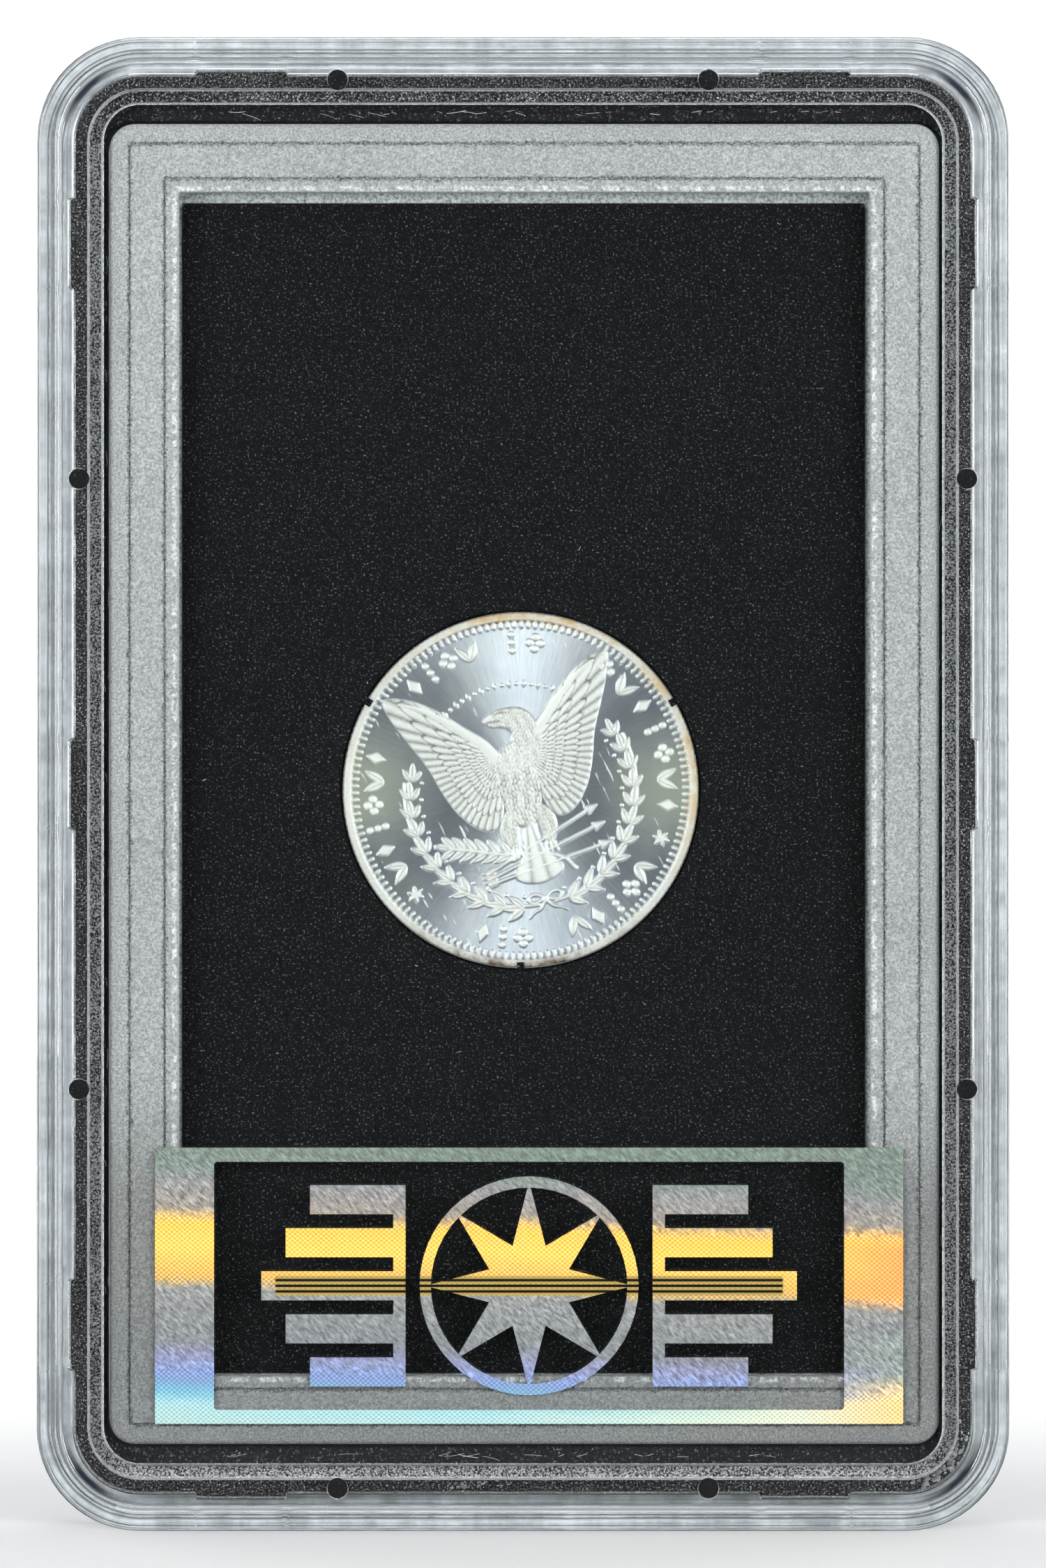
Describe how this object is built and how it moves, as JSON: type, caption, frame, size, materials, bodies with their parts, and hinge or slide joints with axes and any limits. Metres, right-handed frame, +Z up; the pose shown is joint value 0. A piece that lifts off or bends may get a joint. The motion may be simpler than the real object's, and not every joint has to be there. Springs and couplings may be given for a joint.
{
  "type": "graded coin slab",
  "caption": "Clear welded two-shell display slab holding a frosted coin holder with a black insert card and a silver coin that can turn in its seat, foil emblem on the back.",
  "frame": {"origin": "middle of the bottom edge, at half the thickness", "axes": "+Z up along the height, +X across the width, +Y through the thickness; the back (foil side) faces -Y and the label side +Y"},
  "size_m": [0.1036, 0.0126, 0.1593],
  "materials": {
    "clear_shell": "clear moulded styrene, polished faces, sandblasted flange inside the wall",
    "core_black": "black, fine sandblasted grain",
    "frosted_holder": "frosted grey border with a clear polished window",
    "insert_black": "black pebble grain",
    "coin_silver": "frosted relief on mirror fields with warm edge toning",
    "foil": "holographic foil with level colour bands",
    "label_paper": "matt printed card"
  },
  "bodies": {
    "slab": {"shell_back": "clear_shell", "shell_front": "clear_shell", "core_frame": "core_black", "inner_holder_back": "frosted_holder", "inner_holder_front": "frosted_holder", "insert_card": "insert_black", "foil_frame": "foil", "foil_medallion": "foil", "foil_wing_left": "foil", "foil_wing_right": "foil", "label_card": "label_paper"},
    "coin": {"coin": "coin_silver"}
  },
  "joints": [
    {"name": "coin_spin", "type": "hinge", "parent": "slab", "child": "coin", "pos_m": [-0.00025, 0, 0.079], "axis": [0, -1, 0], "continuous": true}
  ]
}
